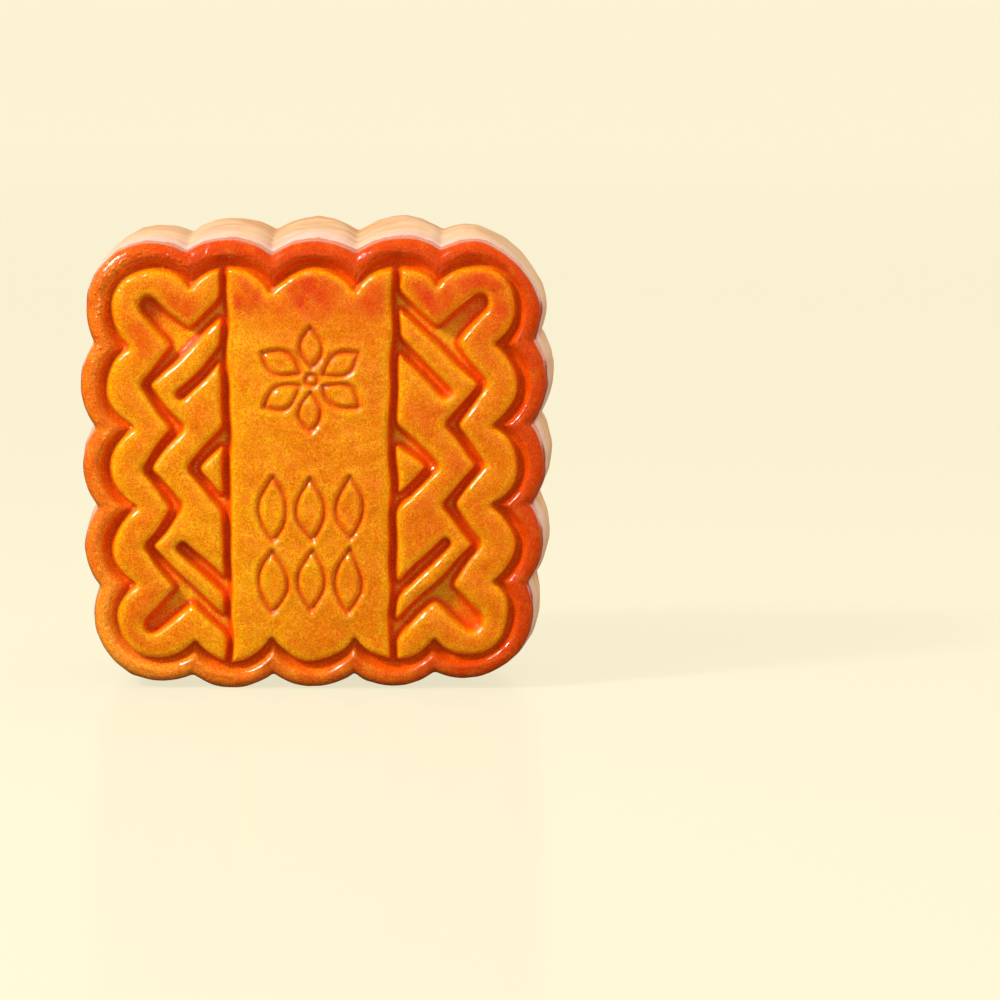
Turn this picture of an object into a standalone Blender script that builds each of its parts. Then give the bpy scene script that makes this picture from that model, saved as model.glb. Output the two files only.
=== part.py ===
"""A baked mooncake: a square cake with a scalloped edge, pressed in a carved mould and stood on its side.

The pressed face looks along -Y. It is drawn in mould coordinates, u across and v up from its middle, and
d is the depth behind the rim's crest. bake() then turns the mould's shape into the baked one.
The object is one solid, in metres, +Z up, with the floor at Z = 0.
"""

import math

import bmesh
import bpy
import numpy as np

# The scalloped edge: three lobes on each side between four larger corner lobes.
REACH = 0.0373  # middle of the face to the outermost point of a side lobe
PITCH = 0.01335  # one lobe to the next along a side
LOBE_RADIUS = 0.01065
CORNER_AT = 0.0250  # middle of a corner lobe, across and up
CORNER_RADIUS = 0.0111
THICKNESS = 0.0325
SIDE_STEPS, CORNER_STEPS = 6, 14  # flat pieces in a lobe's arc
BULGE = 0.0010  # of the sides, at their fullest
BULGE_AT = 0.62  # how far back that is, as a share of the straight side
BACK_RADIUS = 0.0033  # of the back's rounded edge

# The raised rim round the face, and the floor that it walls in.
CREST_GROWTH = -0.0019  # lobe radii on the crest against those of the edge
SHOULDER = 0.0022  # depth of the rim's outer shoulder behind its crest
RIM_INNER_GROWTH = -0.0030
RIM_INNER_DEPTH = 0.0006  # where the rim's round top turns into its inner wall
RECESS = 0.0024  # depth of the floor below the crest
WALL_LEAN = 0.0005  # how far the rim's inner wall comes in on its way down

# The pattern that stands on the floor, inside the rim.
PATTERN_REACH = 0.03275  # middle to the outermost point of the pattern's side lobes
PATTERN_RADIUS = 0.00765
PATTERN_CORNER_AT = 0.0253
PATTERN_CORNER_RADIUS = 0.00685
PANEL_LEFT, PANEL_RIGHT = -0.01355, 0.01240
PANEL_GROOVE = 0.00106
ZIGZAG_INNER = 0.0228  # the ribbon's inner edge swings between these two
ZIGZAG_OUTER = 0.0277
BLOCK_INNER = 0.0207  # and the block's outer edge between these
BLOCK_OUTER = 0.0263
RIBBON_ELBOW = (0.0198, 0.0229)
SLOT_END = 0.0262  # middle of the corner slot's round end, across and up
SLOT_END_RADIUS = 0.00153
UPPER_NOTCH = (0.0322, 0.0346, 0.0102)  # across plus up on its two edges, across minus up at its blind end
LOWER_NOTCH = (0.0334, 0.0359, 0.0093)  # the same, with down for up
ANGLE_MIDDLE, ANGLE_END = 0.02055, 0.0070  # the angled groove round the small triangle
TRIANGLE_MIDDLE, TRIANGLE_TOP, TRIANGLE_FOOT = 0.0185, 0.0037, -0.0048
CORNER_ROUNDING = 0.0005
SHARP_TURN = math.radians(25)  # corners that turn more than this are rounded
ROUNDED_SHARE = 0.4  # and take at most this much of a side
EDGE_BEVEL = 0.00035
PANEL_RISE, BLOCK_RISE, RIBBON_RISE = 0.0003, 0.0002, 0.0001  # above the rim's crest
ROOT = 0.0012  # how far a raised piece runs on below the floor, inside the cake

# The plain ornament on the middle panel: a rosette over two rows of leaves, drawn in grooves.
ORNAMENT_ACROSS = -0.0004
ROSETTE_UP = 0.0145
ROSETTE_PETALS = 6
PETAL_FROM, PETAL_TO, PETAL_WIDTH = 0.0022, 0.0088, 0.0038
EYE_RADIUS = 0.0010
LEAF_LENGTH, LEAF_WIDTH = 0.0104, 0.0046
LEAF_PITCH = 0.0062
LEAF_ROWS_UP = (-0.0069, -0.0193)
GROOVE_RADIUS = 0.00038
GROOVE_LIFT = 0.00004  # of a groove's middle above the panel's top

# Where lines are added over the pattern's flat tops.
ROWS_UP = (-0.024, -0.016, -0.008, 0.0, 0.008, 0.016, 0.024)
ROWS_ACROSS = (-0.0205, -0.0051, 0.0043, 0.0197)

# What baking and standing do to the moulded shape.
SQUASH = 0.968  # height against width
TAPER = 0.022  # the head is this much wider than the middle, and the foot narrower
LEAN = 0.012  # rise towards the right, for each unit across
HEAD_RISE = 0.0004  # how far the head's middle stands above that, and the corners beside it
CORNER_RISE = 0.0025
DOME = 0.0011
PRESSED = 0.0009  # how far the lobes that it stands on are flattened

PASTRY_ORANGE = (0.80, 0.27, 0.02, 1.0)


# ---- outlines, as (points, 2) arrays of u and v, anticlockwise ----


def lobe_circles(reach, radius, corner_at, corner_radius):
    """The sixteen lobes as (u, v, radius), anticlockwise from the right side's lowest."""
    one_side = [(reach - radius, step * PITCH, radius) for step in (-1, 0, 1)]
    one_side.append((corner_at, corner_at, corner_radius))
    circles = []
    for turn in range(4):
        cos, sin = round(math.cos(turn * math.pi / 2)), round(math.sin(turn * math.pi / 2))
        circles += [(cos * u - sin * v, sin * u + cos * v, r) for u, v, r in one_side]
    return circles


def cusp(first, second):
    """Where two neighbouring lobes cross, on the side away from the middle."""
    a, b = np.array(first[:2]), np.array(second[:2])
    apart = np.linalg.norm(b - a)
    along = (b - a) / apart
    reach = (apart**2 + first[2] ** 2 - second[2] ** 2) / (2 * apart)
    rise = math.sqrt(first[2] ** 2 - reach**2)
    return a + along * reach + np.array([along[1], -along[0]]) * rise


def scallops(circles):
    """The union of the lobes: on each circle, an arc from one cusp to the next."""
    points = []
    for i, circle in enumerate(circles):
        steps = CORNER_STEPS if i % 4 == 3 else SIDE_STEPS
        middle = np.array(circle[:2])
        start = cusp(circles[i - 1], circle) - middle
        end = cusp(circle, circles[(i + 1) % len(circles)]) - middle
        first = math.atan2(start[1], start[0])
        sweep = (math.atan2(end[1], end[0]) - first) % (2 * math.pi)
        angles = first + sweep * np.arange(steps) / steps
        points.append(middle + circle[2] * np.stack([np.cos(angles), np.sin(angles)], 1))
    return np.concatenate(points)


def edge_outline(growth):
    """The cake's scalloped edge, with every lobe's radius changed by growth."""
    return scallops(lobe_circles(REACH + growth, LOBE_RADIUS + growth, CORNER_AT, CORNER_RADIUS + growth))


def pattern_outline():
    """The scalloped outline that all of the raised pattern stays inside."""
    return scallops(lobe_circles(PATTERN_REACH, PATTERN_RADIUS, PATTERN_CORNER_AT, PATTERN_CORNER_RADIUS))


def sharp_turns(corners):
    """Which corners of a polygon turn enough to be rounded."""
    before = corners - np.roll(corners, 1, 0)
    after = np.roll(before, -1, 0)
    lengths = np.linalg.norm(before, axis=1) * np.linalg.norm(after, axis=1)
    return (before * after).sum(1) < math.cos(SHARP_TURN) * lengths


def rounded(corners, sharp, radius=CORNER_ROUNDING, steps=2):
    """A polygon with each sharp corner turned into a short curve, no longer than its sides allow."""
    points = []
    for i, corner in enumerate(corners):
        if not sharp[i]:
            points.append(corner)
            continue
        before, after = corners[i - 1] - corner, corners[(i + 1) % len(corners)] - corner
        shorter = min(np.linalg.norm(before), np.linalg.norm(after))
        reach = min(radius, shorter * ROUNDED_SHARE)
        a = corner + before / np.linalg.norm(before) * reach
        b = corner + after / np.linalg.norm(after) * reach
        for t in np.linspace(0, 1, steps + 1):
            points.append((1 - t) ** 2 * a + 2 * t * (1 - t) * corner + t**2 * b)
    return np.array(points)


def inset(corners, distance):
    """An anticlockwise polygon with each side moved inwards by the distance, and the sides joined again."""
    moved = []
    for i, corner in enumerate(corners):
        before, after = corner - corners[i - 1], corners[(i + 1) % len(corners)] - corner
        before, after = before / np.linalg.norm(before), after / np.linalg.norm(after)
        inward = np.array([-before[1] - after[1], before[0] + after[0]])
        moved.append(corner + inward * distance / (1 + before @ after))
    return np.array(moved)


def kept_between(outline, low, high):
    """The outline cut off at u = low and at u = high, for one that crosses each of them twice."""
    points = []
    for i, here in enumerate(outline):
        there = outline[(i + 1) % len(outline)]
        if low < here[0] < high:
            points.append(here)
        crossed = [
            here + (there - here) * (limit - here[0]) / (there[0] - here[0])
            for limit in (low, high)
            if (here[0] - limit) * (there[0] - limit) < 0
        ]
        points += sorted(crossed, key=lambda point: np.linalg.norm(point - here))
    return np.array(points)


def panel_polygon():
    return kept_between(pattern_outline(), PANEL_LEFT, PANEL_RIGHT)


def slot_end():
    """The corner slot's round end, from its upper edge round to its lower edge, in the first quarter."""
    angles = np.radians(np.arange(135, -46, -45))
    return SLOT_END + SLOT_END_RADIUS * np.stack([np.cos(angles), np.sin(angles)], 1)


def ribbon_polygon(side, near):
    """The ribbon beside the rim: scalloped outside, zigzag inside, with a slot in each corner turn.
    It is worked out for the right side, and side = -1 mirrors it. near is the edge by the panel."""
    outer = kept_between(pattern_outline(), near, 1.0)
    start = int(np.argmin(np.where(outer[:, 1] < 0, outer[:, 0], 1.0)))
    outer = np.roll(outer, -start, axis=0)
    elbow = np.array(RIBBON_ELBOW)
    top_end = np.array([[near, elbow[1] + elbow[0] - near]])
    swings = [(ZIGZAG_INNER, 1.5), (ZIGZAG_OUTER, 1), (ZIGZAG_INNER, 0.5), (ZIGZAG_OUTER, 0)]
    upper = np.concatenate([top_end, [elbow], slot_end(), [(u, rise * PITCH) for u, rise in swings]])
    lower = (upper[:-1] * (1, -1))[::-1]
    polygon = np.concatenate([outer, upper, lower])
    return polygon if side > 0 else (polygon * (-1, 1))[::-1]


def block_polygon(side, near):
    """The pointed block between ribbon and panel, with a slanting notch cut into it above and below."""
    halves = []
    for inner, outer, end in (UPPER_NOTCH, LOWER_NOTCH):
        half = [
            (near, ANGLE_END),
            (near, inner - near),
            ((inner + end) / 2, (inner - end) / 2),
            ((outer + end) / 2, (outer - end) / 2),
            (near, outer - near),
            (near, PITCH + BLOCK_OUTER - near),
            (BLOCK_OUTER, PITCH),
            (BLOCK_INNER, PITCH / 2),
        ]
        halves.append(np.array(half))
    upper, lower = halves[0], (halves[1] * (1, -1))[::-1]
    whole = np.concatenate([[(ANGLE_MIDDLE, 0)], upper, [(BLOCK_OUTER, 0)], lower])
    polygon = whole[::-1]
    return polygon if side > 0 else (polygon * (-1, 1))[::-1]


def triangle_polygon(side, near):
    polygon = np.array([(near, TRIANGLE_FOOT), (TRIANGLE_MIDDLE, 0), (near, TRIANGLE_TOP)])
    return polygon if side > 0 else (polygon * (-1, 1))[::-1]


def leaf_outline(length, width, steps=6):
    """An upright pointed oval: its half width follows a sine along its length."""
    t = np.linspace(0, math.pi, steps + 1)[:-1]
    right = np.stack([np.sin(t) * width / 2, (t / math.pi - 0.5) * length], 1)
    return np.concatenate([right, -right])


def turned(outline, angle):
    cos, sin = math.cos(angle), math.sin(angle)
    return outline @ np.array([[cos, sin], [-sin, cos]])


# ---- solids ----


def new_object(name, mesh, collection):
    obj = bpy.data.objects.new(name, mesh)
    collection.objects.link(obj)
    return obj


def placed(outline, depth):
    """An outline's points in space, at that depth behind the crest."""
    return [(u, depth, v) for u, v in outline]


def body_rings():
    """The body as rings from the back's flat to the floor inside the rim, each (outline, depth): the back's
    edge as a quarter circle, the side swelling as a sine up to its fullest, and the rim's round top."""
    rings = []
    for angle in np.radians((0, 30, 60)):
        growth = BULGE - BACK_RADIUS * (1 - math.sin(angle))
        rings.append((edge_outline(growth), THICKNESS - BACK_RADIUS * (1 - math.cos(angle))))
    for share in (1.0, BULGE_AT, 0.58 * BULGE_AT, 0.26 * BULGE_AT):
        swelling = math.sin(min(1.0, share / BULGE_AT) * math.pi / 2) ** 1.5
        rings.append((edge_outline(BULGE * swelling), share * (THICKNESS - BACK_RADIUS)))
    for angle in np.radians((0, 30, 60, 90)):
        growth = CREST_GROWTH * (1 - math.cos(angle))
        rings.append((edge_outline(growth), SHOULDER * (1 - math.sin(angle))))
    rings.append((edge_outline(RIM_INNER_GROWTH), RIM_INNER_DEPTH))
    rings.append((edge_outline(RIM_INNER_GROWTH - WALL_LEAN), RECESS))
    return rings


def loft(name, rings, collection):
    """A closed solid through rings of equal count, each (outline, depth), with a flat at each end."""
    mesh = bpy.data.meshes.new(name)
    bm = bmesh.new()
    loops = [[bm.verts.new(point) for point in placed(*ring)] for ring in rings]
    count = len(loops[0])
    for back, front in zip(loops, loops[1:]):
        for i in range(count):
            j = (i + 1) % count
            bm.faces.new((back[i], back[j], front[j], front[i]))
    bm.faces.new(loops[0][::-1])
    bm.faces.new(loops[-1])
    bmesh.ops.recalc_face_normals(bm, faces=bm.faces)
    bm.to_mesh(mesh)
    bm.free()
    return new_object(name, mesh, collection)


def make_raised(name, polygon, rise, collection):
    """A flat-topped piece of the pattern, with its corners rounded and an edge bevelled all round its top."""
    sharp = sharp_turns(polygon)
    foot, top = rounded(polygon, sharp), rounded(inset(polygon, EDGE_BEVEL), sharp)
    rings = [(foot, RECESS + ROOT), (foot, EDGE_BEVEL - rise), (top, -rise)]
    return loft(name, rings, collection)


def mesh_of_curve(curve_object):
    """The curve's solid as a mesh object of the same name, with its seams welded."""
    bpy.context.view_layer.update()
    graph = bpy.context.evaluated_depsgraph_get()
    mesh = bpy.data.meshes.new_from_object(curve_object.evaluated_get(graph))
    bm = bmesh.new()
    bm.from_mesh(mesh)
    bmesh.ops.remove_doubles(bm, verts=bm.verts, dist=1e-6)
    if bm.calc_volume(signed=True) < 0:
        bmesh.ops.reverse_faces(bm, faces=bm.faces)
    bm.to_mesh(mesh)
    bm.free()
    name, matrix = curve_object.name, curve_object.matrix_world.copy()
    collection = curve_object.users_collection[0]
    bpy.data.objects.remove(curve_object)
    obj = new_object(name, mesh, collection)
    obj.matrix_world = matrix
    return obj


def make_groove(name, outline, collection):
    """A bar bent along the outline, which cuts a groove into the panel's top."""
    curve = bpy.data.curves.new(name, "CURVE")
    curve.dimensions = "3D"
    curve.bevel_depth = GROOVE_RADIUS
    curve.bevel_resolution = 0
    spline = curve.splines.new("POLY")
    spline.points.add(len(outline) - 1)
    for point, (u, v) in zip(spline.points, outline):
        point.co = (u, v, 0, 1)
    spline.use_cyclic_u = True
    obj = new_object(name, curve, collection)
    obj.rotation_euler = (math.pi / 2, 0, 0)
    obj.location.y = -PANEL_RISE - GROOVE_LIFT
    return mesh_of_curve(obj)


def pattern_outlines():
    """Each raised piece as (name, outline, rise above the crest)."""
    pieces = [("panel", panel_polygon(), PANEL_RISE)]
    for word, side, near in (
        ("left", -1, PANEL_GROOVE - PANEL_LEFT),
        ("right", 1, PANEL_GROOVE + PANEL_RIGHT),
    ):
        pieces.append((f"ribbon_{word}", ribbon_polygon(side, near), RIBBON_RISE))
        pieces.append((f"block_{word}", block_polygon(side, near), BLOCK_RISE))
        pieces.append((f"triangle_{word}", triangle_polygon(side, near), BLOCK_RISE))
    return pieces


def ornament_outlines():
    """Each groove of the panel's ornament as (name, outline)."""
    grooves = []
    middle = (ORNAMENT_ACROSS, ROSETTE_UP)
    petal = leaf_outline(PETAL_TO - PETAL_FROM, PETAL_WIDTH) + (0, (PETAL_FROM + PETAL_TO) / 2)
    for i in range(ROSETTE_PETALS):
        grooves.append((f"petal_{i}", turned(petal, 2 * math.pi * i / ROSETTE_PETALS) + middle))
    around = np.linspace(0, 2 * math.pi, 9)[:-1]
    eye = EYE_RADIUS * np.stack([np.cos(around), np.sin(around)], 1)
    grooves.append(("eye", eye + middle))
    for row, up in enumerate(LEAF_ROWS_UP):
        for column in (-1, 0, 1):
            leaf = leaf_outline(LEAF_LENGTH, LEAF_WIDTH) + (ORNAMENT_ACROSS + column * LEAF_PITCH, up)
            grooves.append((f"leaf_{row}_{column + 1}", leaf))
    return grooves


def combine(target, tool, operation):
    """Adds tool to target, or cuts it from target, with an exact Boolean."""
    modifier = target.modifiers.new(f"{operation.lower()}_{tool.name}", "BOOLEAN")
    modifier.operation = operation
    modifier.object = tool
    modifier.solver = "EXACT"


def applied(obj, name, collection):
    """The object as its modifiers leave it, as a new mesh object."""
    bpy.context.view_layer.update()
    graph = bpy.context.evaluated_depsgraph_get()
    mesh = bpy.data.meshes.new_from_object(obj.evaluated_get(graph))
    return new_object(name, mesh, collection)


def add_rows(mesh):
    """Lines across the flat tops of the pattern, so that they can follow the swelling of the face."""
    bm = bmesh.new()
    bm.from_mesh(mesh)
    cuts = [((0, 0, up), (0, 0, 1)) for up in ROWS_UP]
    cuts += [((across, 0, 0), (1, 0, 0)) for across in ROWS_ACROSS]
    for spot, normal in cuts:
        bm.normal_update()
        tops = [f for f in bm.faces if f.normal.y < -0.99 and f.calc_center_median().y < RIM_INNER_DEPTH]
        edges = {edge for face in tops for edge in face.edges}
        verts = {vert for face in tops for vert in face.verts}
        geom = tops + sorted(edges, key=lambda e: e.index) + sorted(verts, key=lambda v: v.index)
        bmesh.ops.bisect_plane(bm, geom=geom, dist=1e-6, plane_co=spot, plane_no=normal)
        bm.edges.index_update()
        bm.verts.index_update()
    bm.to_mesh(mesh)
    bm.free()


def bake(points):
    """Mould to baked cake: squashed, wider at the head than at the foot, a little higher at the right
    and at the top corners, and swollen at the middle of its face."""
    u, d, v = points.T
    x = u * (1 + TAPER * v / REACH)
    deep = d / THICKNESS
    rise = HEAD_RISE * (1 + 2 * deep) + CORNER_RISE * (1 - deep) * (u / REACH) ** 2
    z = v * SQUASH + LEAN * u + rise * np.clip(v / REACH, 0, None) ** 2
    swell = np.clip(1 - (u / REACH) ** 2, 0, 1) * np.clip(1 - (v / REACH) ** 2, 0, 1)
    y = d - DOME * swell * np.clip(1 - deep, 0, 1) ** 2
    return np.stack([x, y, z], 1)


def move_vertices(mesh, change):
    """Puts each vertex where change says, for a whole array of points at once."""
    points = np.empty(len(mesh.vertices) * 3, np.float32)
    mesh.vertices.foreach_get("co", points)
    moved = change(points.reshape(-1, 3).astype(float))
    mesh.vertices.foreach_set("co", moved.astype(np.float32).ravel())
    mesh.update()


def stand(points):
    """Sets the cake on the floor, its middle over the origin, with the lowest lobes pressed just below."""
    low, high = points.min(0), points.max(0)
    shift = np.array([-(low[0] + high[0]) / 2, -(low[1] + high[1]) / 2, -(low[2] + PRESSED)])
    return points + shift


def floor_cutter(collection):
    """A block under Z = 0 that trims the standing lobes flat."""
    bm = bmesh.new()
    bmesh.ops.create_cube(bm, size=0.2)
    bmesh.ops.translate(bm, verts=bm.verts, vec=(0, 0, -0.1))
    mesh = bpy.data.meshes.new("floor_cutter")
    bm.to_mesh(mesh)
    bm.free()
    return new_object("floor_cutter", mesh, collection)


def pastry():
    """Egg-glazed baked pastry."""
    material = bpy.data.materials.new("glazed_pastry")
    material.use_nodes = True
    shader = material.node_tree.nodes["Principled BSDF"]
    shader.inputs["Base Color"].default_value = PASTRY_ORANGE
    shader.inputs["Roughness"].default_value = 0.35
    shader.inputs["Metallic"].default_value = 0.0
    material.diffuse_color = PASTRY_ORANGE
    return material


def new_collection(name):
    collection = bpy.data.collections.new(name)
    bpy.context.scene.collection.children.link(collection)
    return collection


def clear_scene():
    for obj in list(bpy.data.objects):
        bpy.data.objects.remove(obj)


def main():
    clear_scene()
    helpers, parts = new_collection("helpers"), new_collection("mooncake")
    body = loft("body", body_rings(), helpers)
    for name, polygon, rise in pattern_outlines():
        combine(body, make_raised(name, polygon, rise, helpers), "UNION")
    for name, outline in ornament_outlines():
        combine(body, make_groove(name, outline, helpers), "DIFFERENCE")
    cake = applied(body, "mooncake", parts)
    add_rows(cake.data)
    move_vertices(cake.data, bake)
    move_vertices(cake.data, stand)
    combine(cake, floor_cutter(helpers), "DIFFERENCE")
    for helper in helpers.objects:
        helper.hide_render = True
        helper.display_type = "WIRE"
    cake.data.materials.clear()
    cake.data.materials.append(pastry())
    cake.data.shade_smooth()
    cake.data.set_sharp_from_angle(angle=math.radians(35))


main()
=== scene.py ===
"""The looks of a baked mooncake that stands on its scalloped edge, on a cream table in soft studio light.

The cake is one closed mesh. Its face is a grid whose heights come from distances to the pattern's outlines,
its side is a stack of scalloped rings, and its back is flat. Sizes are in millimetres, in the mould's
coordinates (u across, v up, d behind the rim's crest), until bake() turns them into the standing cake.
"""

import math

import bpy
import numpy as np
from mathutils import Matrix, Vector


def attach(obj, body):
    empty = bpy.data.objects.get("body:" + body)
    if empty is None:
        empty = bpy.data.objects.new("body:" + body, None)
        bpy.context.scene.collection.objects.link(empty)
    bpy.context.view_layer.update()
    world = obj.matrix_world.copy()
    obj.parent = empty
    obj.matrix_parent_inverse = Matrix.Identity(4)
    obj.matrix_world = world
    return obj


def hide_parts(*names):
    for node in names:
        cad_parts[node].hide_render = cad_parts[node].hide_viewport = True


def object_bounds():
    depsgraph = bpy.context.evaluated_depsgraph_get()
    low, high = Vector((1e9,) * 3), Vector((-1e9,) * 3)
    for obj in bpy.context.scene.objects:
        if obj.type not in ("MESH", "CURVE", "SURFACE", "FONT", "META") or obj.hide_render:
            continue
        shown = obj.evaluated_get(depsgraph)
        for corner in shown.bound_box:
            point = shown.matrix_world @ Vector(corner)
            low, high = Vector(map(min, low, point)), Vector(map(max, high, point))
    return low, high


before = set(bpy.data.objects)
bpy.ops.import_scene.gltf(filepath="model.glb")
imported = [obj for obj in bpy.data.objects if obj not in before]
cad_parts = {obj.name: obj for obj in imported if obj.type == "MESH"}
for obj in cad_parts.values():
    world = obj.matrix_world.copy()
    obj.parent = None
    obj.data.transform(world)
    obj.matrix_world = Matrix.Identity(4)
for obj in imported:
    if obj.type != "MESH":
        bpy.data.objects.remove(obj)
CAD_LOW, CAD_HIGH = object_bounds()

# The scalloped edge: three lobes on each side between four larger corner lobes.
REACH = 37.3
PITCH = 13.35
LOBE_RADIUS = 10.65
CORNER_AT = 25.0
CORNER_RADIUS = 11.1
THICKNESS = 32.5

# The rim, by how far inside the edge each part of it lies, and the floor that it walls in.
CREST_INSIDE = 1.9
WALL_TOP, WALL_FOOT = 2.1, 4.25  # the inner wall falls between these
SHOULDER_DEPTH = 2.4
SQUARENESS = 2.6  # power of the shoulder's ellipse, where 2 is a plain one
RECESS = 2.4
FACE_SQUARE = 30.5  # half of the square that stands in for the lobes at the middle of the face
BULGE = 1.0  # of the sides, at their fullest
BULGE_AT = 0.62  # how far back that is, as a share of the straight side
BACK_RADIUS = 3.3  # of the back's rounded edge
BACK_RINGS = (0.985, 0.95, 0.90)  # rings on the flat back, as shares of its outline

# The pattern inside the rim.
PATTERN_REACH = 32.75
PATTERN_RADIUS = 7.65
PATTERN_CORNER_AT = 25.3
PATTERN_CORNER_RADIUS = 6.85
PANEL_LEFT, PANEL_RIGHT = -13.55, 12.40
PANEL_GROOVE = 1.06
ZIGZAG_INNER, ZIGZAG_OUTER = 22.8, 27.7
BLOCK_INNER, BLOCK_OUTER = 20.7, 26.3
RIBBON_ELBOW = (19.8, 22.9)
SLOT_END, SLOT_END_RADIUS = 26.2, 1.53
UPPER_NOTCH = (32.2, 34.6, 10.2)  # across plus up on its two edges, across minus up at its blind end
LOWER_NOTCH = (33.4, 35.9, 9.3)
ANGLE_MIDDLE, ANGLE_END = 20.55, 7.0
TRIANGLE_MIDDLE, TRIANGLE_TOP, TRIANGLE_FOOT = 18.5, 3.7, -4.8
CORNER_ROUNDING = 1.0
SHARP_TURN = math.radians(25)  # corners that turn more than this are rounded
PATTERN_RISE = 0.25  # of the pattern's plateaus above the rim's crest
PATTERN_WALL = 0.5  # its walls spread this far to either side of its outline
PLATEAU_DROP, PLATEAU_SPREAD = 0.42, 0.75  # of the plateaus' soft shoulders
WANDER = 0.16  # how far the pattern's lines stray from their drawn places
LUMPS, FINE_LUMPS = 0.045, 0.03

# The ornament on the panel.
ORNAMENT_ACROSS = -0.4
ROSETTE_UP = 14.5
ROSETTE_PETALS = 6
PETAL_FROM, PETAL_TO, PETAL_WIDTH = 2.2, 8.8, 3.8
EYE_RADIUS = 1.0
LEAF_LENGTH, LEAF_WIDTH, LEAF_PITCH = 10.4, 4.6, 6.2
LEAF_ROWS_UP = (-6.9, -19.3)
GROOVE_SPREAD, GROOVE_DEPTH = 0.38, 0.62
LIP_OUT, LIP_SPREAD, LIP_RISE = 1.0, 0.45, 0.10  # of the low lip that each groove throws up beside it

# What baking and standing do to the moulded shape.
SQUASH, TAPER, LEAN = 0.968, 0.022, 0.012
HEAD_RISE, CORNER_RISE = 0.4, 2.5
CORNER_PULL = 1.55  # how far the upper right corner is drawn in, across and down
DOME = 1.1

# The glaze runs this far back over the rim's shoulder, and further at the top and at the right.
GLAZE_REACH, GLAZE_EXTRA = 2.2, 1.2

# The camera and the lamps aim at a spot this far behind the face's front and below the top, in metres.
AIM_BEHIND, AIM_BELOW = 0.0015, 0.0381

# The mesh: cells along each side of the face's grid, five equal shares of them to a lobe.
CELLS = 240
LOBE_STEPS = CELLS // 5
FACE_INSIDE = 0.9  # the face's grid ends this far inside the edge
BACK_SHARE = 8  # the back's grid has this many times fewer cells along a side


def tone(red, green, blue):
    """A colour given as 0-255 display values, as linear values for a shader."""
    display = np.array([red, green, blue]) / 255
    return np.where(display <= 0.04045, display / 12.92, ((display + 0.055) / 1.055) ** 2.4)


CRUST_ORANGE = tone(240, 128, 8)
# This yellow also carries painted light: the highlight on the plateaus' edges and lips, and the left side's
# light.
CRUST_YELLOW = tone(252, 162, 6)
CRUST_RED = tone(224, 66, 4)
RIM_RED = tone(217, 68, 4)
RIM_ORANGE = tone(240, 118, 22)
RIM_PALE = tone(254, 148, 40)
# The groove colour: pooled glaze, and painted shade where it lies on walls and in narrow grooves.
GROOVE_GLAZE_AND_SHADE = tone(238, 76, 3)
FLOOR_MUSTARD = tone(240, 158, 14)
SIDE_PEACH = tone(246, 196, 146)
SIDE_PAINTED_SHEEN = tone(247, 205, 188)
# A painted pinkish-white sheen of the lamps on the side just behind the rim.
BACK_TAN = tone(224, 156, 88)
TABLE_CREAM = tone(254, 245, 214)


# ---- small numpy helpers ----


def smooth(low, high, x):
    """0 below low, 1 above high, and a smooth S between."""
    t = np.clip((x - low) / (high - low), 0, 1)
    return t * t * (3 - 2 * t)


def blend(a, b, share):
    """Colours a and b mixed by a share for each point."""
    share = np.asarray(share)[..., None]
    return a * (1 - share) + b * share


def hump(u, v, at_u, at_v, size):
    """1 at (at_u, at_v), fading as a bell of that size."""
    return np.exp(-((u - at_u) ** 2 + (v - at_v) ** 2) / (2 * size**2))


def ripple(u, v, w, wavelength, seed, waves=9):
    """Smooth noise of about unit size: a sum of sine waves in seeded directions."""
    wave_rng = np.random.default_rng(seed)
    total = np.zeros_like(u)
    for _ in range(waves):
        way = wave_rng.normal(size=3)
        way *= 2 * math.pi / (np.linalg.norm(way) * wavelength * wave_rng.uniform(0.7, 1.4))
        total += np.sin(u * way[0] + v * way[1] + w * way[2] + wave_rng.uniform(0, 2 * math.pi))
    return total / math.sqrt(waves / 2)


# ---- outlines ----


def lobe_circles(reach, radius, corner_at, corner_radius):
    """The sixteen lobes as (u, v, radius), anticlockwise from the right side's lowest."""
    one_side = [(reach - radius, step * PITCH, radius) for step in (-1, 0, 1)]
    one_side.append((corner_at, corner_at, corner_radius))
    circles = []
    for turn in range(4):
        cos, sin = round(math.cos(turn * math.pi / 2)), round(math.sin(turn * math.pi / 2))
        circles += [(cos * u - sin * v, sin * u + cos * v, r) for u, v, r in one_side]
    return circles


def cusp(first, second):
    """Where two neighbouring lobes cross, on the side away from the middle."""
    a, b = np.array(first[:2]), np.array(second[:2])
    apart = np.linalg.norm(b - a)
    along = (b - a) / apart
    reach = (apart**2 + first[2] ** 2 - second[2] ** 2) / (2 * apart)
    rise = math.sqrt(first[2] ** 2 - reach**2)
    return a + along * reach + np.array([along[1], -along[0]]) * rise


def scallops(circles, steps, corner_steps):
    """The union of the lobes: on each circle, an arc from one cusp to the next."""
    points = []
    for i, circle in enumerate(circles):
        count = corner_steps if i % 4 == 3 else steps
        middle = np.array(circle[:2])
        start = cusp(circles[i - 1], circle) - middle
        end = cusp(circle, circles[(i + 1) % len(circles)]) - middle
        first = math.atan2(start[1], start[0])
        sweep = (math.atan2(end[1], end[0]) - first) % (2 * math.pi)
        angles = first + sweep * np.arange(count) / count
        points.append(middle + circle[2] * np.stack([np.cos(angles), np.sin(angles)], 1))
    return np.concatenate(points)


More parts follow.
